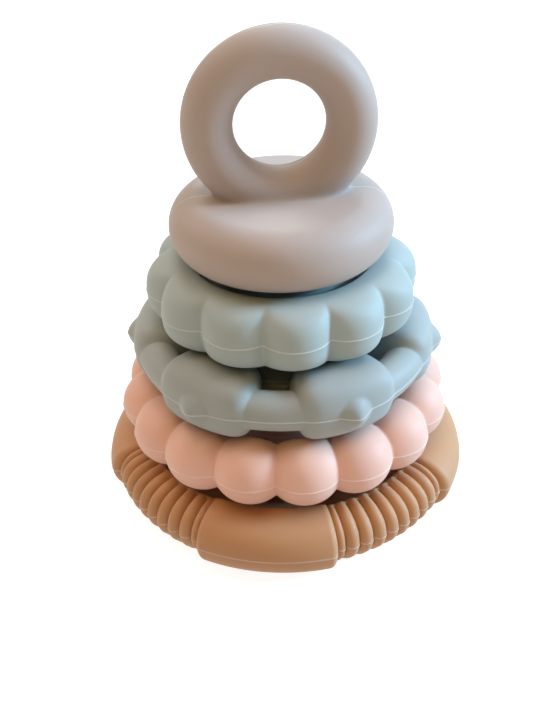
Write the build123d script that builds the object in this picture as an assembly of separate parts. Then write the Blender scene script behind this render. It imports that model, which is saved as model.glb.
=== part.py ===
from build123d import *
import math
import os

# Stacking ring toy in soft moulded silicone, standing on its base.  Millimetres, +Z up, origin at the
# centre of the flat underside.  Seen from the front (-Y) the handle hole runs straight through along Y.
# Turns are degrees about the post: 0 is the front, and a positive turn goes towards +X.

# ---- levels of the stack: every piece rests on the hub of the one below --------------------------------
BASE_TOP = 16.9
BUBBLE_TOP = 35.8
BLOCK_TOP = 53.4
SCALLOP_TOP = 70.3
DISC_BOTTOM = 71.1
DISC_TOP = 87.1

# ---- post, and the hubs that slide over it -------------------------------------------------------------
POST_RADIUS = 9.5
POST_TOP = 80.0
POST_TIP_FILLET = 6.0
HOLE_RADIUS = 9.9
HUB_RADIUS = 22.0
HUB_FILLET = 1.0

# ---- base: four smooth corners with eight round ribs between each pair ---------------------------------
BASE_RADIUS = 50.0
BASE_SEAM_Z = 8.2
BASE_FOOT = 8.0
BASE_CREST_RADIUS = 39.0
BASE_CREST_INSIDE = 2.5
BASE_CROWN_TOP = 16.6
BASE_FLOOR_TOP = 3.5
BASE_CORNER_ANGLE = 44.6
BASE_TURN = -11.8
RIB_RADIUS = 48.4
RIB_TOP = 16.0
RIBS_PER_SIDE = 8
RIB_PITCH = 4.95
GROOVE_RADIUS = 1.6
GROOVE_DEPTH = 1.4
GROOVE_FROM = 70
GROOVE_TO = 120

# ---- bubble ring: sixteen balls on a thin floor --------------------------------------------------------
BUBBLES = 16
BUBBLE_RING = 34.9
BUBBLE_RADIUS = 9.95
BUBBLE_HALF_HEIGHT = 9.2
BUBBLE_TURN = 2.5
BUBBLE_FLOOR = (19.6, 23.6)
BUBBLE_WALL_RADIUS = 33.0

# ---- block ring: six fat blocks joined by six round necks, one nub on every block ----------------------
BLOCKS = 6
BLOCK_LEVEL = 44.3
BLOCK_OUTER = 40.1
BLOCK_INNER = 22.6
BLOCK_HALF_HEIGHT = 8.5
BLOCK_CORNER = 7.0
BLOCK_ANGLE = 43.0
BLOCK_END_FILLET = 4.0
BLOCK_TURN = 20.6
BLOCK_FLOOR = (39.8, 42.8)
NECK_RING = 34.2
NECK_RADIUS = 5.0
NUB_BASE_RADIUS = 3.5
NUB_TIP_RADIUS = 1.7
NUB_TIP_FILLET = 1.3
NUB_REACH = 2.3
NUB_ROOT = 2.0

# ---- scalloped ring: twelve upright lobes, with a moat round the hub above and below -------------------
SCALLOPS = 12
SCALLOP_RING = 26.1
SCALLOP_RADIUS = 9.35
SCALLOP_EDGE = 4.6
SCALLOP_VALLEY = 1.5
SCALLOP_TURN = 0.9
MOAT_IN = 20.0
MOAT_OUT = 23.7
MOAT_DEPTH = 6.0

# ---- topper: thick disc with a standing ring handle in one piece ---------------------------------------
DISC_RADIUS = 28.5
COLLAR_RADIUS = 19.6
HANDLE_Z = 105.0
HANDLE_RING = 17.6
HANDLE_TUBE = 6.3
HANDLE_FILLET = 2.0
SOCKET_TOP = 80.9

UPWARD = (Align.CENTER, Align.CENTER, Align.MIN)


def turned(shape, turn):
    """The shape turned about the post."""
    return Rotation(0, 0, turn) * shape


def around(shape, count, turn):
    """Copies of the shape spaced evenly about the post, the first at the given turn."""
    return [turned(shape, turn + i * 360 / count) for i in range(count)]


def pillar(radius, bottom, top):
    """Upright round bar on the axis of the post."""
    return Pos(0, 0, bottom) * Cylinder(radius, top - bottom, align=UPWARD)


def domed(radius, bottom, top, rounding):
    """Upright round bar with a rounded top."""
    bar = pillar(radius, bottom, top)
    return fillet(bar.edges().sort_by(Axis.Z)[-1], rounding)


def washer(inner, outer, bottom, top):
    """Flat ring between two radii and two levels."""
    return pillar(outer, bottom, top) - pillar(inner, bottom, top)


def spun(radius_in, radius_out, middle, half_height, rounding, angle=360):
    """Ring whose section is a rounded rectangle, or a stretch of it centred on the front."""
    section = RectangleRounded(radius_out - radius_in, 2 * half_height, rounding)
    section = Plane.XZ * Pos((radius_in + radius_out) / 2, middle) * section
    return turned(revolve(section, Axis.Z, angle), -90 - angle / 2)


def hub(bottom, top):
    """Thick sleeve that stands on the piece below and clears the post."""
    return spun(HOLE_RADIUS, HUB_RADIUS, (bottom + top) / 2, (top - bottom) / 2, HUB_FILLET)


def floor_ring(outer, levels):
    """Floor that joins the hub to the decorated rim."""
    return washer((HOLE_RADIUS + HUB_RADIUS) / 2, outer, *levels)


def foot_arc(radius, lift, start):
    """Outline of the base under the parting line, from the given direction out to the rim."""
    centre = (radius - BASE_FOOT, BASE_SEAM_Z)
    return EllipticalCenterArc(centre, BASE_FOOT + lift, BASE_SEAM_Z + lift, start, arc_size=360 - start)


def crown_arc(radius, top, lift, end):
    """Outline of the base over the parting line, from the rim up to the given direction."""
    centre = (BASE_CREST_RADIUS, BASE_SEAM_Z)
    half_x, half_z = radius - BASE_CREST_RADIUS + lift, top - BASE_SEAM_Z + lift
    return EllipticalCenterArc(centre, half_x, half_z, 0, arc_size=end)


def base_section(radius, top):
    """Half section of the base: round foot, crown, steep wall behind the crest, and the floor inside."""
    centre, wall = (BASE_CREST_RADIUS, BASE_SEAM_Z), BASE_CREST_RADIUS - BASE_CREST_INSIDE
    with BuildSketch(Plane.XZ) as section:
        with BuildLine():
            under = Line((0, 0), (radius - BASE_FOOT, 0))
            foot_arc(radius, 0, 270)
            crown_arc(radius, top, 0, 90)
            inside = EllipticalCenterArc(centre, BASE_CREST_INSIDE, top - BASE_SEAM_Z, 90, arc_size=90)
            Polyline(inside @ 1, (wall, BASE_FLOOR_TOP), (0, BASE_FLOOR_TOP), under @ 0)
        make_face()
    return section.sketch


def groove():
    """Round-bottomed cut at the front: over the rim, from underneath to the inner side of the crest."""
    lift = GROOVE_RADIUS - GROOVE_DEPTH
    with BuildLine(Plane.XZ) as path:
        foot_arc(RIB_RADIUS, lift, 360 - GROOVE_FROM)
        crown_arc(RIB_RADIUS, RIB_TOP, lift, GROOVE_TO)
    line = path.line
    return turned(sweep(Plane(line @ 0, z_dir=line % 0) * Circle(GROOVE_RADIUS), line), -90)


def base_corner():
    """Smooth corner at the front, standing proud of the ribs."""
    corner = revolve(base_section(BASE_RADIUS, BASE_CROWN_TOP), Axis.Z, BASE_CORNER_ANGLE)
    return turned(corner, -90 - BASE_CORNER_ANGLE / 2)


def make_base():
    side = 90 - BASE_CORNER_ANGLE
    row = [(i - RIBS_PER_SIDE / 2) * RIB_PITCH for i in range(RIBS_PER_SIDE + 1)]
    cuts = []
    for turn in [-side / 2, *row, side / 2]:
        cuts += around(groove(), 4, 45 + turn)
    ribbed = revolve(base_section(RIB_RADIUS, RIB_TOP), Axis.Z) - cuts
    rim = turned(ribbed + around(base_corner(), 4, 0), BASE_TURN)
    return rim + pillar(HUB_RADIUS, 0, BASE_TOP) + domed(POST_RADIUS, 0, POST_TOP, POST_TIP_FILLET)


def make_bubble_ring():
    middle = (BASE_TOP + BUBBLE_TOP) / 2
    ball = Pos(0, -BUBBLE_RING, middle) * Sphere(BUBBLE_RADIUS)
    bottom, top = middle - BUBBLE_HALF_HEIGHT, middle + BUBBLE_HALF_HEIGHT
    slab = washer(HOLE_RADIUS, BUBBLE_RING + 2 * BUBBLE_RADIUS, bottom, top)
    balls = (Part() + around(ball, BUBBLES, BUBBLE_TURN)) & slab
    balls -= washer(HOLE_RADIUS, BUBBLE_WALL_RADIUS, BUBBLE_FLOOR[1], top)
    return balls + floor_ring(BUBBLE_WALL_RADIUS, BUBBLE_FLOOR) + hub(BASE_TOP, BUBBLE_TOP)


def make_block():
    """One block at the front: a stretch of the ring with rounded corners and eased ends."""
    block = spun(BLOCK_INNER, BLOCK_OUTER, BLOCK_LEVEL, BLOCK_HALF_HEIGHT, BLOCK_CORNER, BLOCK_ANGLE)
    ends = block.faces().filter_by(GeomType.PLANE).filter_by(lambda face: abs(face.normal_at().X) > 0.5)
    return fillet(ends.edges(), BLOCK_END_FILLET)


def make_nub():
    """Blunt cone that points outwards from the middle of the block at the front."""
    nub = Cone(NUB_BASE_RADIUS, NUB_TIP_RADIUS, NUB_REACH + NUB_ROOT, align=UPWARD)
    nub = fillet(nub.edges().sort_by(Axis.Z)[-1], NUB_TIP_FILLET)
    return Pos(0, NUB_ROOT - BLOCK_OUTER, BLOCK_LEVEL) * Rotation(90, 0, 0) * nub


def make_block_ring():
    necks = Pos(0, 0, BLOCK_LEVEL) * Torus(NECK_RING, NECK_RADIUS)
    ring = necks + around(make_block(), BLOCKS, BLOCK_TURN) + around(make_nub(), BLOCKS, BLOCK_TURN)
    return ring + floor_ring(NECK_RING, BLOCK_FLOOR) + hub(BUBBLE_TOP, BLOCK_TOP)


def make_scallop_ring():
    lobe = Pos(0, -SCALLOP_RING) * Circle(SCALLOP_RADIUS)
    plan = Sketch() + around(lobe, SCALLOPS, SCALLOP_TURN) + Circle(SCALLOP_RING)
    plan = fillet(plan.vertices(), SCALLOP_VALLEY)
    ring = Pos(0, 0, BLOCK_TOP) * extrude(plan, SCALLOP_TOP - BLOCK_TOP)
    ring = fillet(ring.edges().filter_by(lambda edge: abs(edge.tangent_at(0).Z) < 0.1), SCALLOP_EDGE)
    moats = washer(MOAT_IN, MOAT_OUT, SCALLOP_TOP - MOAT_DEPTH, SCALLOP_TOP)
    moats += washer(MOAT_IN, MOAT_OUT, BLOCK_TOP, BLOCK_TOP + MOAT_DEPTH)
    return ring - moats - pillar(HOLE_RADIUS, BLOCK_TOP, SCALLOP_TOP)


def make_disc():
    """Disc with a full-round edge."""
    half = (DISC_TOP - DISC_BOTTOM) / 2
    with BuildSketch(Plane.XZ) as section:
        with BuildLine():
            under = Line((0, DISC_BOTTOM), (DISC_RADIUS - half, DISC_BOTTOM))
            edge = CenterArc((DISC_RADIUS - half, DISC_BOTTOM + half), half, -90, 180)
            Polyline(edge @ 1, (0, DISC_TOP), under @ 0)
        make_face()
    return revolve(section.sketch, Axis.Z)


def make_topper():
    disc = make_disc()
    handle = Pos(0, 0, HANDLE_Z) * Rotation(90, 0, 0) * Torus(HANDLE_RING, HANDLE_TUBE)
    whole = disc + handle
    whole = fillet(new_edges(disc, handle, combined=whole), HANDLE_FILLET)
    whole += pillar(COLLAR_RADIUS, SCALLOP_TOP, (DISC_BOTTOM + DISC_TOP) / 2)
    return whole - domed(HOLE_RADIUS, SCALLOP_TOP, SOCKET_TOP, POST_TIP_FILLET)


PARTS = {
    "base": make_base,
    "bubble_ring": make_bubble_ring,
    "block_ring": make_block_ring,
    "scallop_ring": make_scallop_ring,
    "topper": make_topper,
}

os.makedirs("parts", exist_ok=True)
for name, make in PARTS.items():
    export_step(make().solid(), f"parts/{name}.step")
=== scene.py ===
import bpy
import math
import numpy as np
from mathutils import Matrix, Vector


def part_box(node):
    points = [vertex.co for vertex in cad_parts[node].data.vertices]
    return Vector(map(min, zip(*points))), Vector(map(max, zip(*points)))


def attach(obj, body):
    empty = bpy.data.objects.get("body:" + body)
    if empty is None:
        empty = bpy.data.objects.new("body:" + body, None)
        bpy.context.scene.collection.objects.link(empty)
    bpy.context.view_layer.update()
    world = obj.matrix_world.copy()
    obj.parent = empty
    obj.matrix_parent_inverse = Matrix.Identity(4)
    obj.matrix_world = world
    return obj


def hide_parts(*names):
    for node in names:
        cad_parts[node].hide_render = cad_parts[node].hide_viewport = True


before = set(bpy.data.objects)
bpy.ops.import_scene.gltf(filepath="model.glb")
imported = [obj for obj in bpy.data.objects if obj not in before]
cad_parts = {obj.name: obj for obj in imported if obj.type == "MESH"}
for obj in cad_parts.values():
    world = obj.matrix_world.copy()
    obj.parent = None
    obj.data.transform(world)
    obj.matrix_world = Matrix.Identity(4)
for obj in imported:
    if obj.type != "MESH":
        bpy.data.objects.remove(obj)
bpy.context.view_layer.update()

# Lengths are in mm and measured from the post's axis unless a name or comment says otherwise.
MM = 0.001
TURN = math.radians
FULL_TURN = 2 * math.pi

# ---- levels of the stack, read from the CAD nodes ------------------------------------------------------
box = {name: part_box(name) for name in ("base", "bubble_ring", "block_ring", "scallop_ring", "topper")}


def level(node, share=0.5):
    """Height inside a CAD node, 0 at its lowest point and 1 at its highest."""
    low, high = box[node][0][2], box[node][1][2]
    return (low + (high - low) * share) / MM


# ---- sizes shared by several pieces --------------------------------------------------------------------
HOLE_RADIUS = 9.9
HUB_RADIUS = 22.0
HUB_EDGE = 0.9
PLAIN_TURNS = 192
CORNER_STEPS = 6
HALF_EDGE = 2.01

# A parting line is a fine ridge; extra rows of points lie these angles either side of it.
RIDGE_HEIGHT = 0.16
RIDGE_WIDTH = 0.17
RIDGE_ROWS = (0.0, 0.007, 0.014, 0.021, 0.032, 0.05)
RIDGE_CLEAR = 0.06

# ---- base ----------------------------------------------------------------------------------------------
BASE_RADIUS = 50.0
BASE_SEAM_Z = 8.2
BASE_FOOT = 8.0
BASE_CREST_RADIUS = 39.0
BASE_CREST_INSIDE = 2.5
BASE_CROWN_TOP = 16.6
BASE_FLOOR_TOP = 3.5
BASE_FLOOR_UNDER = 2.0
BASE_FLOOR_RADIUS = 38.0
BASE_PLATE_LAP = 0.3
BASE_PLATE_EDGE = 0.8
BASE_TOP = level("bubble_ring", 0)
BASE_TURN = TURN(-11.8)
BASE_CORNERS = 4
CORNER_ANGLE = TURN(44.6)
SHOULDER_ANGLE = TURN(2.4)
SHOULDER_DROP = 0.9
RIB_RADIUS = 48.4
RIB_TOP_DROP = 0.5
RIBS_PER_SIDE = 8
RIB_PITCH = TURN(4.95)
RIB_DEPTH = 2.3
RIB_ROUND = 0.985
END_RIB_DROP = 0.25
END_RIB_DEPTH = 0.7 * RIB_DEPTH
END_RIB_ROUND = 0.96
RIB_FADE_Z = 2.0
RIM_TURNS = 2880
FOOT_STEPS = 44
CROWN_STEPS = 70
INSIDE_STEPS = 60
INSIDE_END = 216
POST_RADIUS = 9.5
POST_TOP = level("base", 1)
POST_TIP_FILLET = 6.0
POST_TIP_STEPS = 12
POST_EDGE = 0.5

# ---- bubble ring ---------------------------------------------------------------------------------------
BUBBLES = 16
BUBBLE_RING = 34.9
BUBBLE_TURN = TURN(2.5)
BUBBLE_SIZE = (9.95, 9.95, 9.2)
BUBBLE_BLEND = 0.6
BUBBLE_WALL = 2.0
BUBBLE_WALL_POWER = 3
BUBBLE_WALL_END = -0.8
BUBBLE_FLOOR = (19.6, 23.6)
BUBBLE_FLOOR_RADIUS = 34.0
BUBBLE_TURNS = 48 * BUBBLES
BUBBLE_ROWS = 112

# ---- block ring ----------------------------------------------------------------------------------------
BLOCKS = 6
BLOCK_RING = 31.6
BLOCK_LEVEL = 44.3
BLOCK_TURN = TURN(20.6)
BLOCK_HALF = (8.6, 8.5)
BLOCK_POWER = 2.7
BLOCK_SPAN = TURN(22.4)
BLOCK_TAPER = TURN(1.2)
BLOCK_END_POWER = 7.0
BLOCK_BLEND = 1.1
BLOCK_FLOOR = (39.8, 42.8)
NECK_RING = 34.2
NECK_RADIUS = 5.0
NUB_HEIGHT = 2.4
NUB_WIDTH = 4.8
NUB_POWER = 1.7
BLOCK_TURNS = 160 * BLOCKS
BLOCK_ROWS = 132

# ---- scalloped ring ------------------------------------------------------------------------------------
SCALLOPS = 12
SCALLOP_RING = 26.1
SCALLOP_TURN = TURN(0.9)
SCALLOP_RADIUS = 9.35
SCALLOP_HALF = 8.4
SCALLOP_POWER = 2.6
SCALLOP_BLEND = 1.2
MOAT_IN = 20.0
MOAT_OUT = 23.7
MOAT_DEPTH = 6.0
MOAT_OVERLAP = 0.6
MOAT_EDGE = 0.8
SCALLOP_TURNS = 60 * SCALLOPS
SCALLOP_ROWS = 160

# ---- topper --------------------------------------------------------------------------------------------
DISC_BOTTOM = 71.1
DISC_TOP = 87.1
DISC_RADIUS = 28.5
COLLAR_RADIUS = 19.6
COLLAR_SINK = 3.0
COLLAR_EDGE = 0.5
HANDLE_Z = 105.0
HANDLE_RING = 17.6
HANDLE_TUBE = 6.3
HANDLE_BLEND = 2.0
NET_STEP = 0.7
NET_MARGIN = 1.3
SETTLE_STEPS = 12
SETTLE_PROBE = 0.01
LEAST_SLOPE = 1e-6


# ---- mesh helpers --------------------------------------------------------------------------------------
def build(name, points, faces, node, material):
    """One smooth piece that rides on a body and stands in for the CAD node of the same name."""
    mesh = bpy.data.meshes.new(name)
    mesh.from_pydata((np.asarray(points) * MM).tolist(), [], faces)
    mesh.update()
    mesh.shade_smooth()
    piece = bpy.data.objects.new(name, mesh)
    bpy.context.scene.collection.objects.link(piece)
    mesh.materials.append(material)
    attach(piece, node)
    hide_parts(node)


def grid_faces(rows, columns, close_columns=True):
    """Quads over a grid of points, wrapped round along its rows and, if asked, along its columns."""
    r = np.arange(rows)
    c = np.arange(columns if close_columns else columns - 1)
    r, c = np.meshgrid(r, c, indexing="ij")
    r2, c2 = (r + 1) % rows, (c + 1) % columns
    quads = np.stack([r * columns + c, r2 * columns + c, r2 * columns + c2, r * columns + c2], -1)
    return quads.reshape(-1, 4).tolist()


def place(radius, height, angle):
    """Cylindrical to cartesian; angle 0 is the front (-Y) and grows towards +X."""
    return np.stack([radius * np.sin(angle), -radius * np.cos(angle), height + 0 * radius], -1)


def turns_by(turns, rows):
    """Grids of the angle about the post and of each item of the rows."""
    return np.meshgrid(np.linspace(0, FULL_TURN, turns, endpoint=False), rows, indexing="ij")


def section_angles(count):
    """Angles round a tube section, with extra rows either side of the parting line."""
    even = np.linspace(-math.pi, math.pi, count, endpoint=False)
    even = even[np.abs(even) > RIDGE_CLEAR]
    extra = np.array(sorted({side * row for row in RIDGE_ROWS for side in (-1, 1)}))
    return np.sort(np.concatenate([even, extra]))


def parting(distance):
    """Fine raised line left where the two mould halves meet."""
    return RIDGE_HEIGHT * np.exp(-((distance / RIDGE_WIDTH) ** 2))


def tube(node, ring, middle, reach, turns, rows, material):
    """Decorated rim of a ring, seen from a circle inside it: reach gives how far it lies along each ray."""
    phi = section_angles(rows)
    a, p = turns_by(turns, phi)
    t = reach(a, p)
    t = t + parting(t * np.sin(p)) * (np.cos(p) > 0)
    points = place(ring + t * np.cos(p), middle + t * np.sin(p), a)
    build(node + "_rim", points.reshape(-1, 3), grid_faces(turns, len(phi)), node, material)


def lathe(name, profile, node, material):
    """Closed section spun about the post."""
    profile = np.asarray(profile, float)
    a, i = turns_by(PLAIN_TURNS, np.arange(len(profile)))
    points = place(profile[i, 0], profile[i, 1], a)
    build(name, points.reshape(-1, 3), grid_faces(PLAIN_TURNS, len(profile)), node, material)


def rounded(corners, radius):
    """Closed outline with every corner rounded by CORNER_STEPS points, which take up to half of an edge."""
    corners = [np.array(c, float) for c in corners]
    out = []
    for k, here in enumerate(corners):
        before, after = corners[k - 1] - here, corners[(k + 1) % len(corners)] - here
        size_before, size_after = np.linalg.norm(before), np.linalg.norm(after)
        reach = min(radius, size_before / HALF_EDGE, size_after / HALF_EDGE)
        start, end = here + before / size_before * reach, here + after / size_after * reach
        for s in np.linspace(0, 1, CORNER_STEPS):
            out.append((1 - s) ** 2 * start + 2 * s * (1 - s) * here + s * s * end)
    return out


def arc(centre, half_x, half_z, start, end, steps):
    """Points on an ellipse between two angles in degrees, with the outward direction at each."""
    d = np.radians(np.linspace(start, end, steps))
    points = np.stack([centre[0] + half_x * np.cos(d), centre[1] + half_z * np.sin(d)], -1)
    normal = np.stack([np.cos(d) / half_x, np.sin(d) / half_z], -1)
    return points, normal / np.linalg.norm(normal, axis=-1, keepdims=True)


def section(phi, half_x, half_z, power):
    """Superellipse radius: a rounded square section, squarer as the power grows."""
    return (np.abs(np.cos(phi) / half_x) ** power + np.abs(np.sin(phi) / half_z) ** power) ** (-1 / power)


def smooth_max(a, b, width):
    """The larger of two, with the crease between them filled over a width."""
    blend = np.maximum(1 - np.abs(a - b) / width, 0)
    return np.maximum(a, b) + width * blend * blend / 4


def smooth_min(a, b, width):
    """The smaller of two, eased in the same way."""
    return -smooth_max(-a, -b, width)


def nearest(angle, count, turn):
    """Signed angle from the nearest of several evenly spaced features, and from the next one."""
    pitch = FULL_TURN / count
    near = (angle - turn + pitch / 2) % pitch - pitch / 2
    far = near - np.where(near >= 0, pitch, -pitch)
    return near, far


def ball(angle, phi, ring, size):
    """Distance along a ray in a section plane to the far side of an ellipsoid a given turn away."""
    radial, across, tall = size
    start = np.stack([ring * (np.cos(angle) - 1) / radial, ring * np.sin(angle) / across, 0 * angle])
    outward = np.cos(phi)
    step = np.stack([outward * np.cos(angle) / radial, outward * np.sin(angle) / across, np.sin(phi) / tall])
    a, b, c = (step * step).sum(0), (start * step).sum(0), (start * start).sum(0) - 1
    return (np.sqrt(np.maximum(b * b - a * c, 0)) - b) / a


def core(node, outer, floor, material):
    """Hub that stands on the piece below, with the floor out to the decorated rim."""
    low, high = level(node, 0), level(node, 1)
    under, over = floor
    outline = [(HOLE_RADIUS, low), (HUB_RADIUS, low), (HUB_RADIUS, under), (outer, under)]
    outline += [(outer, over), (HUB_RADIUS, over), (HUB_RADIUS, high), (HOLE_RADIUS, high)]
    lathe(node + "_core", rounded(outline, HUB_EDGE), node, material)


# ---- materials -----------------------------------------------------------------------------------------
SILICONE = {
    "Roughness": 0.55,
    "Specular IOR Level": 0.4,
    "Sheen Weight": 0.12,
    "Sheen Roughness": 0.6,
    "Subsurface Weight": 0.12,
    "Subsurface Radius": (0.004, 0.0025, 0.002),
    "Subsurface Scale": 1.0,
}
LINE_NEAR, LINE_FAR = 0.10, 0.26
LINE_STRENGTH = 0.55
LINE_TINT = 0.45
LINE_WHITE = 0.5


def new_material(name):
    material = bpy.data.materials.new(name)
    material.use_nodes = True
    return material, material.node_tree


def add(tree, kind, **values):
    """New node with its inputs set: spaces in an input's name are written as underscores."""
    node = tree.nodes.new(kind)
    for name, value in values.items():
        node.inputs[name.replace("_", " ")].default_value = value
    return node


def add_math(tree, operation, source):
    node = tree.nodes.new("ShaderNodeMath")
    node.operation = operation
    tree.links.new(source, node.inputs[0])
    return node


def add_mix(tree, factor):
    node = tree.nodes.new("ShaderNodeMix")
    node.data_type = "RGBA"
    tree.links.new(factor, node.inputs["Factor"])
    return node


def cloudy_tint(tree, where, colour, deep):
    """Soft drift between two close colours."""
    cloud = add(tree, "ShaderNodeTexNoise", Scale=45.0, Detail=3.0)
    tree.links.new(where, cloud.inputs["Vector"])
    spread = add(tree, "ShaderNodeMapRange", From_Min=0.3, From_Max=0.6)
    tree.links.new(cloud.outputs["Fac"], spread.inputs["Value"])
    tint = add_mix(tree, spread.outputs["Result"])
    tint.inputs["A"].default_value = (*deep, 1)
    tint.inputs["B"].default_value = (*colour, 1)
    return tint.outputs["Result"]


def pale_line(tree, where, tint, colour, seam_axis, seam_at):
    """Paler stripe over the tint where the piece crosses the plane of its parting line."""
    apart = add(tree, "ShaderNodeSeparateXYZ")
    tree.links.new(where, apart.inputs["Vector"])
    offset = add_math(tree, "SUBTRACT", apart.outputs[seam_axis])
    offset.inputs[1].default_value = seam_at * MM
    gap = add_math(tree, "ABSOLUTE", offset.outputs["Value"])
    line = add(tree, "ShaderNodeMapRange", To_Min=LINE_STRENGTH, To_Max=0.0)
    line.inputs["From Min"].default_value = LINE_NEAR * MM
    line.inputs["From Max"].default_value = LINE_FAR * MM
    tree.links.new(gap.outputs["Value"], line.inputs["Value"])
    pale = add_mix(tree, line.outputs["Result"])
    tree.links.new(tint, pale.inputs["A"])
    pale.inputs["B"].default_value = (*[LINE_TINT * c + LINE_WHITE for c in colour], 1)
    return pale.outputs["Result"]


def fine_grain(tree, where):
    """Faint roughness of the moulded skin."""
    grain = add(tree, "ShaderNodeTexNoise", Scale=2600.0, Detail=2.0)
    tree.links.new(where, grain.inputs["Vector"])
    bump = add(tree, "ShaderNodeBump", Strength=0.06, Distance=0.0002)
    tree.links.new(grain.outputs["Fac"], bump.inputs["Height"])
    return bump.outputs["Normal"]


def silicone(name, colour, deep, seam_axis, seam_at):
    """Matte moulded silicone: soft cloudy colour, faint grain, a paler line where the mould parted."""
    material, tree = new_material(name)
    shader = tree.nodes["Principled BSDF"]
    for socket, value in SILICONE.items():
        shader.inputs[socket].default_value = value
    where = add(tree, "ShaderNodeTexCoord").outputs["Object"]
    tint = cloudy_tint(tree, where, colour, deep)
    base_colour = pale_line(tree, where, tint, colour, seam_axis, seam_at)
    tree.links.new(base_colour, shader.inputs["Base Color"])
    tree.links.new(fine_grain(tree, where), shader.inputs["Normal"])
    return material


tan = silicone("silicone_tan", (0.535, 0.27, 0.127), (0.505, 0.25, 0.115), "Z", BASE_SEAM_Z)
pink = silicone("silicone_pink", (0.85, 0.505, 0.40), (0.82, 0.47, 0.365), "Z", level("bubble_ring"))
blue = silicone("silicone_blue_grey", (0.37, 0.395, 0.378), (0.35, 0.375, 0.358), "Z", BLOCK_LEVEL)
sage = silicone("silicone_sage", (0.405, 0.46, 0.44), (0.385, 0.44, 0.42), "Z", level("scallop_ring"))
greige = silicone("silicone_greige", (0.48, 0.382, 0.333), (0.46, 0.362, 0.313), "Y", 0.0)


# ---- rings: a rim with its own shape of reach, and a plain core ----------------------------------------
def bubble_reach(angle, phi):
    """Touching balls, cut off by a steep wall on the inner side above the floor."""
    near, far = nearest(angle, BUBBLES, BUBBLE_TURN)
    balls = [ball(turn, phi, BUBBLE_RING, BUBBLE_SIZE) for turn in (near, far)]
    outside = smooth_max(*balls, BUBBLE_BLEND)
    inside = section(phi, BUBBLE_WALL, BUBBLE_SIZE[2], BUBBLE_WALL_POWER)
    walled = (np.cos(phi) < 0) & (np.sin(phi) > BUBBLE_WALL_END)
    return np.where(walled, np.minimum(outside, inside), outside)


def block_reach(angle, phi):
    """Fat blocks that end bluntly on a round neck, with a pointed nub on the outer face of each."""
    near = nearest(angle, BLOCKS, BLOCK_TURN)[0]
    shift = (NECK_RING - BLOCK_RING) * np.cos(phi)
    neck = shift + np.sqrt(NECK_RADIUS ** 2 - (NECK_RING - BLOCK_RING) ** 2 + shift ** 2)
    span = BLOCK_SPAN - BLOCK_TAPER * np.cos(phi)
    fade = np.maximum(1 - np.abs(near / span) ** BLOCK_END_POWER, 0) ** (1 / BLOCK_POWER)
    reach = smooth_max(fade * section(phi, *BLOCK_HALF, BLOCK_POWER), neck, BLOCK_BLEND)
    along = (BLOCK_RING + reach) * near
    up = reach * np.sin(phi)
    away = np.minimum(np.hypot(along, up) / NUB_WIDTH, 1)
    return reach + NUB_HEIGHT * (1 - away ** NUB_POWER) ** NUB_POWER * (np.cos(phi) > 0)


def scallop_reach(angle, phi):
    """Cushions outside, and the straight outer wall of the round moat inside."""
    near, far = nearest(angle, SCALLOPS, SCALLOP_TURN)
    size = (SCALLOP_RADIUS, SCALLOP_RADIUS, SCALLOP_RADIUS)
    circles = [ball(turn, 0 * phi, SCALLOP_RING, size) for turn in (near, far)]
    outside = section(phi, smooth_max(*circles, SCALLOP_BLEND), SCALLOP_HALF, SCALLOP_POWER)
    across = np.abs(np.cos(phi)) / (SCALLOP_RING - MOAT_OUT)
    inside = 1 / np.maximum(across, np.abs(np.sin(phi)) / SCALLOP_HALF)
    return np.where(np.cos(phi) > 0, outside, inside)


def scallop_core():
    """Hub with a round moat above and below the web that joins it to the cushions."""
    low, high = level("scallop_ring", 0), level("scallop_ring", 1)
    web_low, web_high, web_out = low + MOAT_DEPTH, high - MOAT_DEPTH, MOAT_OUT + MOAT_OVERLAP
    outline = [(HOLE_RADIUS, low), (MOAT_IN, low), (MOAT_IN, web_low), (web_out, web_low)]
    outline += [(web_out, web_high), (MOAT_IN, web_high), (MOAT_IN, high), (HOLE_RADIUS, high)]
    lathe("scallop_ring_core", rounded(outline, MOAT_EDGE), "scallop_ring", sage)


tube("bubble_ring", BUBBLE_RING, level("bubble_ring"), bubble_reach, BUBBLE_TURNS, BUBBLE_ROWS, pink)
core("bubble_ring", BUBBLE_FLOOR_RADIUS, BUBBLE_FLOOR, pink)
tube("block_ring", BLOCK_RING, BLOCK_LEVEL, block_reach, BLOCK_TURNS, BLOCK_ROWS, blue)
core("block_ring", NECK_RING, BLOCK_FLOOR, blue)
tube("scallop_ring", SCALLOP_RING, level("scallop_ring"), scallop_reach, SCALLOP_TURNS, SCALLOP_ROWS, sage)
scallop_core()


# ---- base: smooth corners, ribbed sides, floor, hub and post -------------------------------------------
def base_section():
    """Half section from under the rim, over the crest and down behind it: points and normals."""
    crest, height = (BASE_CREST_RADIUS, BASE_SEAM_Z), BASE_CROWN_TOP - BASE_SEAM_Z
    foot = arc((BASE_RADIUS - BASE_FOOT, BASE_SEAM_Z), BASE_FOOT, BASE_SEAM_Z, -90, 0, FOOT_STEPS)
    crown = arc(crest, BASE_RADIUS - BASE_CREST_RADIUS, height, 0, 90, CROWN_STEPS)
    inside = arc(crest, BASE_CREST_INSIDE, height, 90, INSIDE_END, INSIDE_STEPS)
    return [np.concatenate([foot[k][:-1], crown[k][:-1], inside[k]]) for k in (0, 1)]


def bulge_depth(across, roundness):
    """Share of a rib's depth lost from its crest (0) to its edges (-1 and 1)."""
    return 1 - np.sqrt(np.maximum(1 - roundness * across ** 2, 0))


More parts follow.
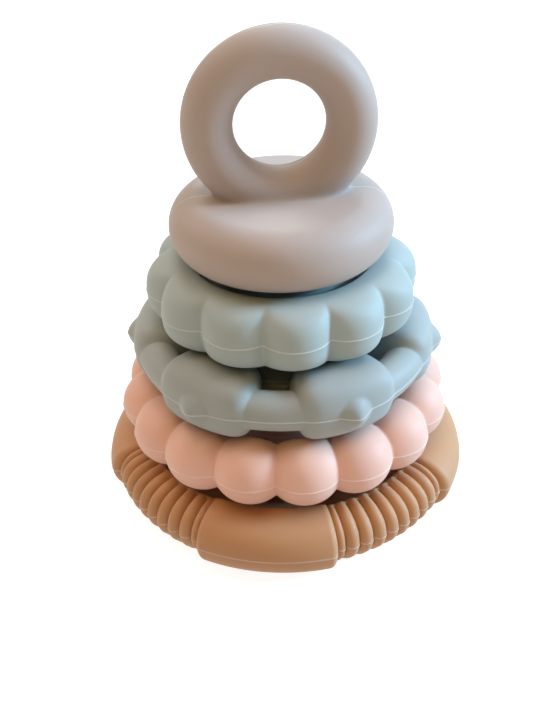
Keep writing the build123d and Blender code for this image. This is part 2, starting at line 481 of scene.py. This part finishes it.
def rib_depth(angle, drop):
    """How far the surface lies under the smooth corners: a row of round ribs fills each side, drop deep."""
    from_middle = np.abs(nearest(angle, BASE_CORNERS, BASE_TURN + math.pi / BASE_CORNERS)[0])
    edge, row = (FULL_TURN / BASE_CORNERS - CORNER_ANGLE) / 2, RIBS_PER_SIDE * RIB_PITCH / 2
    in_row = from_middle / RIB_PITCH % 1.0 * 2 - 1
    in_end = np.clip((from_middle - row) / (edge - row), 0, 1) * 2 - 1
    full = RIB_DEPTH * bulge_depth(in_row, RIB_ROUND)
    end = END_RIB_DROP + END_RIB_DEPTH * bulge_depth(in_end, END_RIB_ROUND)
    ribs = drop + np.where(from_middle < row, full, end)
    to_corner = 1 - np.clip((from_middle - edge) / SHOULDER_ANGLE, 0, 1)
    shoulder = (drop + SHOULDER_DROP) * bulge_depth(to_corner, 1)
    return np.where(from_middle < edge, ribs, shoulder)


def base_rim():
    """Ribs and corners are pressed into the section along its normals; they fade out under the foot."""
    points, normals = base_section()
    a, i = turns_by(RIM_TURNS, np.arange(len(points)))
    out, z = points[i, 0], points[i, 1]
    upward = np.maximum(normals[i, 1], 0) ** 2
    drop = (BASE_RADIUS - RIB_RADIUS) * (1 - upward) + RIB_TOP_DROP * upward
    share = np.where(normals[i, 0] < 0, upward, 1) * np.clip(z / RIB_FADE_Z, 0, 1) ** 0.5
    rise = parting(z - BASE_SEAM_Z) * (out > BASE_CREST_RADIUS) - share * rib_depth(a, drop)
    vertices = place(out + rise * normals[i, 0], np.maximum(z + rise * normals[i, 1], 0), a)
    build("base_rim", vertices.reshape(-1, 3), grid_faces(RIM_TURNS, len(points), False), "base", tan)


def base_post():
    """Underside, floor, hub and post in one lathed piece; the two ends on the axis stay sharp."""
    plate = BASE_RADIUS - BASE_FOOT + BASE_PLATE_LAP
    outline = [(0, 0), (plate, 0), (plate, BASE_PLATE_EDGE), (BASE_FLOOR_RADIUS, BASE_FLOOR_UNDER)]
    outline += [(BASE_FLOOR_RADIUS, BASE_FLOOR_TOP), (HUB_RADIUS, BASE_FLOOR_TOP)]
    outline += [(HUB_RADIUS, BASE_TOP), (POST_RADIUS, BASE_TOP)]
    outline = rounded(outline, POST_EDGE)[CORNER_STEPS:]
    centre = (POST_RADIUS - POST_TIP_FILLET, POST_TOP - POST_TIP_FILLET)
    tip = arc(centre, POST_TIP_FILLET, POST_TIP_FILLET, 0, 90, POST_TIP_STEPS)[0]
    lathe("base_post", outline + list(tip) + [(0, POST_TOP), (0, 0)], "base", tan)


base_rim()
base_post()


# ---- topper: the zero surface of a field ---------------------------------------------------------------
def topper_field(p):
    """Below zero inside the topper: a full-round disc and a ring standing on it, run together softly."""
    x, y, z = p[..., 0], p[..., 1], p[..., 2]
    half = (DISC_TOP - DISC_BOTTOM) / 2
    past_flat = np.maximum(np.hypot(x, y) - (DISC_RADIUS - half), 0)
    disc = np.hypot(past_flat, z - DISC_BOTTOM - half) - half
    ring = np.hypot(np.hypot(x, z - HANDLE_Z) - HANDLE_RING, y) - HANDLE_TUBE
    return smooth_min(disc, ring, HANDLE_BLEND)


def settled(field, points, step):
    """Points moved down the slope of a field until they lie on its zero surface."""
    probes = np.eye(3) * SETTLE_PROBE
    for _ in range(SETTLE_STEPS):
        value = field(points)
        slope = np.stack([field(points + d) - field(points - d) for d in probes], -1) / (2 * SETTLE_PROBE)
        move = slope * (value / np.maximum((slope * slope).sum(-1), LEAST_SLOPE))[:, None]
        points = points - np.clip(move, -step, step)
    return points


def crossing_quads(inside, index, axis):
    """One quad round every grid edge along an axis that passes through the surface."""
    u, v = [a for a in range(3) if a != axis]
    size = np.array(inside.shape)
    first = np.take(inside, range(size[axis] - 1), axis)
    second = np.take(inside, range(1, size[axis]), axis)
    quads = []
    for leaving in (True, False):
        edge = np.argwhere(first & ~second if leaving else second & ~first)
        kept = (edge[:, u] > 0) & (edge[:, v] > 0) & (edge[:, u] < size[u] - 1) & (edge[:, v] < size[v] - 1)
        edge = edge[kept]
        ring = []
        for du, dv in ((1, 1), (0, 1), (0, 0), (1, 0)):
            cell = edge.copy()
            cell[:, u] -= du
            cell[:, v] -= dv
            ring.append(index[tuple(cell.T)])
        quad = np.stack(ring, -1)
        quads.append(quad if leaving != (axis == 1) else quad[:, ::-1])
    return quads


def surface_net(field, low, high, step):
    """Quad mesh of the zero surface of a field, with one point in every cell that it passes through."""
    axes = [np.arange(a, b + step, step) for a, b in zip(low, high)]
    inside = field(np.stack(np.meshgrid(*axes, indexing="ij"), -1)) < 0
    n = np.array(inside.shape) - 1
    corners = [(i, j, k) for i in (0, 1) for j in (0, 1) for k in (0, 1)]
    count = sum(inside[i:i + n[0], j:j + n[1], k:k + n[2]].astype(int) for i, j, k in corners)
    cells = np.argwhere((count > 0) & (count < len(corners)))
    index = np.full(n, -1)
    index[tuple(cells.T)] = np.arange(len(cells))
    points = np.array([a[0] for a in axes]) + (cells + 0.5) * step
    quads = [quad for axis in range(3) for quad in crossing_quads(inside, index, axis)]
    return settled(field, points, step), np.concatenate(quads).tolist()


def topper_body():
    """Disc and handle in one closed mesh."""
    side, top = DISC_RADIUS + NET_MARGIN, HANDLE_Z + HANDLE_RING + HANDLE_TUBE + NET_MARGIN
    low, high = [-side, -side, DISC_BOTTOM - NET_MARGIN], [side, side, top]
    points, quads = surface_net(topper_field, low, high, NET_STEP)
    build("topper_body", points, quads, "topper", greige)


def topper_collar():
    """Short sleeve under the disc, which carries the topper on the ring below."""
    low, high = level("topper", 0), DISC_BOTTOM + COLLAR_SINK
    outline = [(HOLE_RADIUS, low), (COLLAR_RADIUS, low), (COLLAR_RADIUS, high), (HOLE_RADIUS, high)]
    lathe("topper_collar", rounded(outline, COLLAR_EDGE), "topper", greige)


topper_body()
topper_collar()

# ---- floor, backdrop, camera and light; lengths here are in metres -------------------------------------
STUDIO_RADIUS = 3.0
STUDIO_SIDES = 64
SET_WHITE = 0.3
FLOOR_GLOW = 0.88
BACKDROP_GLOW = 1.0
EYE = (-0.02313, -0.24472, 0.20383)
EYE_HEADING = TURN(4.32)
EYE_PITCH = TURN(34.05)
EYE_ROLL = TURN(-1.56)
EYE_LENS = 54.57
EYE_SENSOR = 36.0
TABLE_GLOW = (1.0, 0.92, 0.84)
GLOW_BELOW = 1.0
GLOW_ABOVE = 0.03
HORIZON = 0.05


def plain(name, glow):
    """Matte white for the set; its own glow keeps the shadows on it faint."""
    material, tree = new_material(name)
    shader = tree.nodes["Principled BSDF"]
    shader.inputs["Base Color"].default_value = (SET_WHITE, SET_WHITE, SET_WHITE, 1)
    shader.inputs["Roughness"].default_value = 0.9
    shader.inputs["Specular IOR Level"].default_value = 0.0
    shader.inputs["Emission Color"].default_value = (1, 1, 1, 1)
    shader.inputs["Emission Strength"].default_value = glow
    return material


def stage(name, vertices, faces, material):
    """Part of the set that throws no light of its own on the toy."""
    mesh = bpy.data.meshes.new(name)
    mesh.from_pydata(vertices, [], faces)
    mesh.materials.append(material)
    piece = bpy.data.objects.new(name, mesh)
    bpy.context.scene.collection.objects.link(piece)
    piece.visible_diffuse = False
    piece.visible_glossy = False
    return piece


def studio():
    """White floor, and a white wall all round that is only there to be looked at."""
    turns = [FULL_TURN * i / STUDIO_SIDES for i in range(STUDIO_SIDES)]
    ring = [(STUDIO_RADIUS * math.cos(a), STUDIO_RADIUS * math.sin(a)) for a in turns]
    low, high = [(x, y, 0) for x, y in ring], [(x, y, STUDIO_RADIUS) for x, y in ring]
    stage("floor", low, [tuple(range(STUDIO_SIDES))], plain("floor_white", FLOOR_GLOW))
    after = [(i + 1) % STUDIO_SIDES for i in range(STUDIO_SIDES)]
    faces = [(i, j, STUDIO_SIDES + j, STUDIO_SIDES + i) for i, j in enumerate(after)]
    wall = stage("backdrop", low + high, faces, plain("backdrop_white", BACKDROP_GLOW))
    wall.visible_shadow = False


def camera():
    """Looks down on the toy from the front, a little to the left of the handle's axis."""
    data = bpy.data.cameras.new("camera")
    data.lens = EYE_LENS
    data.sensor_width = EYE_SENSOR
    data.clip_start = 0.01
    eye = bpy.data.objects.new("camera", data)
    bpy.context.scene.collection.objects.link(eye)
    level_ahead = Vector((math.sin(EYE_HEADING), math.cos(EYE_HEADING), 0))
    ahead = level_ahead * math.cos(EYE_PITCH) - Vector((0, 0, math.sin(EYE_PITCH)))
    level_right = Vector((math.cos(EYE_HEADING), -math.sin(EYE_HEADING), 0))
    level_up = level_right.cross(ahead)
    right = level_right * math.cos(EYE_ROLL) + level_up * math.sin(EYE_ROLL)
    up = level_up * math.cos(EYE_ROLL) - level_right * math.sin(EYE_ROLL)
    columns = Matrix((right, up, -ahead)).transposed()
    eye.matrix_world = Matrix.Translation(EYE) @ columns.to_4x4()
    bpy.context.scene.camera = eye


def ambient():
    """Glow of the white table from below, and next to nothing from above."""
    world = bpy.data.worlds.new("studio")
    world.use_nodes = True
    tree = world.node_tree
    background = tree.nodes["Background"]
    apart = add(tree, "ShaderNodeSeparateXYZ")
    tree.links.new(add(tree, "ShaderNodeTexCoord").outputs["Generated"], apart.inputs["Vector"])
    blend = add(tree, "ShaderNodeMapRange", From_Min=-HORIZON, From_Max=HORIZON)
    blend.inputs["To Min"].default_value = GLOW_BELOW
    blend.inputs["To Max"].default_value = GLOW_ABOVE
    tree.links.new(apart.outputs["Z"], blend.inputs["Value"])
    tree.links.new(blend.outputs["Result"], background.inputs["Strength"])
    background.inputs["Color"].default_value = (*TABLE_GLOW, 1)
    bpy.context.scene.world = world


def sun(name, heading, height, spread, strength, colour):
    """Soft light from far away, angles in degrees; heading 0 is behind the toy and 90 to its right."""
    light = bpy.data.lights.new(name, "SUN")
    light.energy = strength
    light.angle = TURN(spread)
    light.color = colour
    lamp = bpy.data.objects.new(name, light)
    bpy.context.scene.collection.objects.link(lamp)
    across, up = math.cos(TURN(height)), math.sin(TURN(height))
    away = Vector((across * math.sin(TURN(heading)), across * math.cos(TURN(heading)), up))
    lamp.rotation_euler = away.to_track_quat("Z", "Y").to_euler()


studio()
camera()
ambient()
bpy.context.scene.view_settings.view_transform = "Standard"
sun("window_right", 90, 20, 16, 4.2, (0.36, 0.70, 1.0))
sun("sky_right", 90, 48, 30, 1.3, (0.74, 0.81, 1.0))
sun("sky_behind_right", 30, 40, 30, 0.75, (0.5, 0.76, 1.0))
sun("sky_behind", 0, 35, 30, 0.75, (0.94, 1.0, 0.92))
sun("ceiling", 180, 85, 30, 0.75, (1.0, 0.92, 0.92))
sun("lamp_front", 210, 60, 35, 0.72, (1.0, 0.68, 0.24))
sun("lamp_left", 300, 40, 35, 0.87, (1.0, 0.93, 0.92))
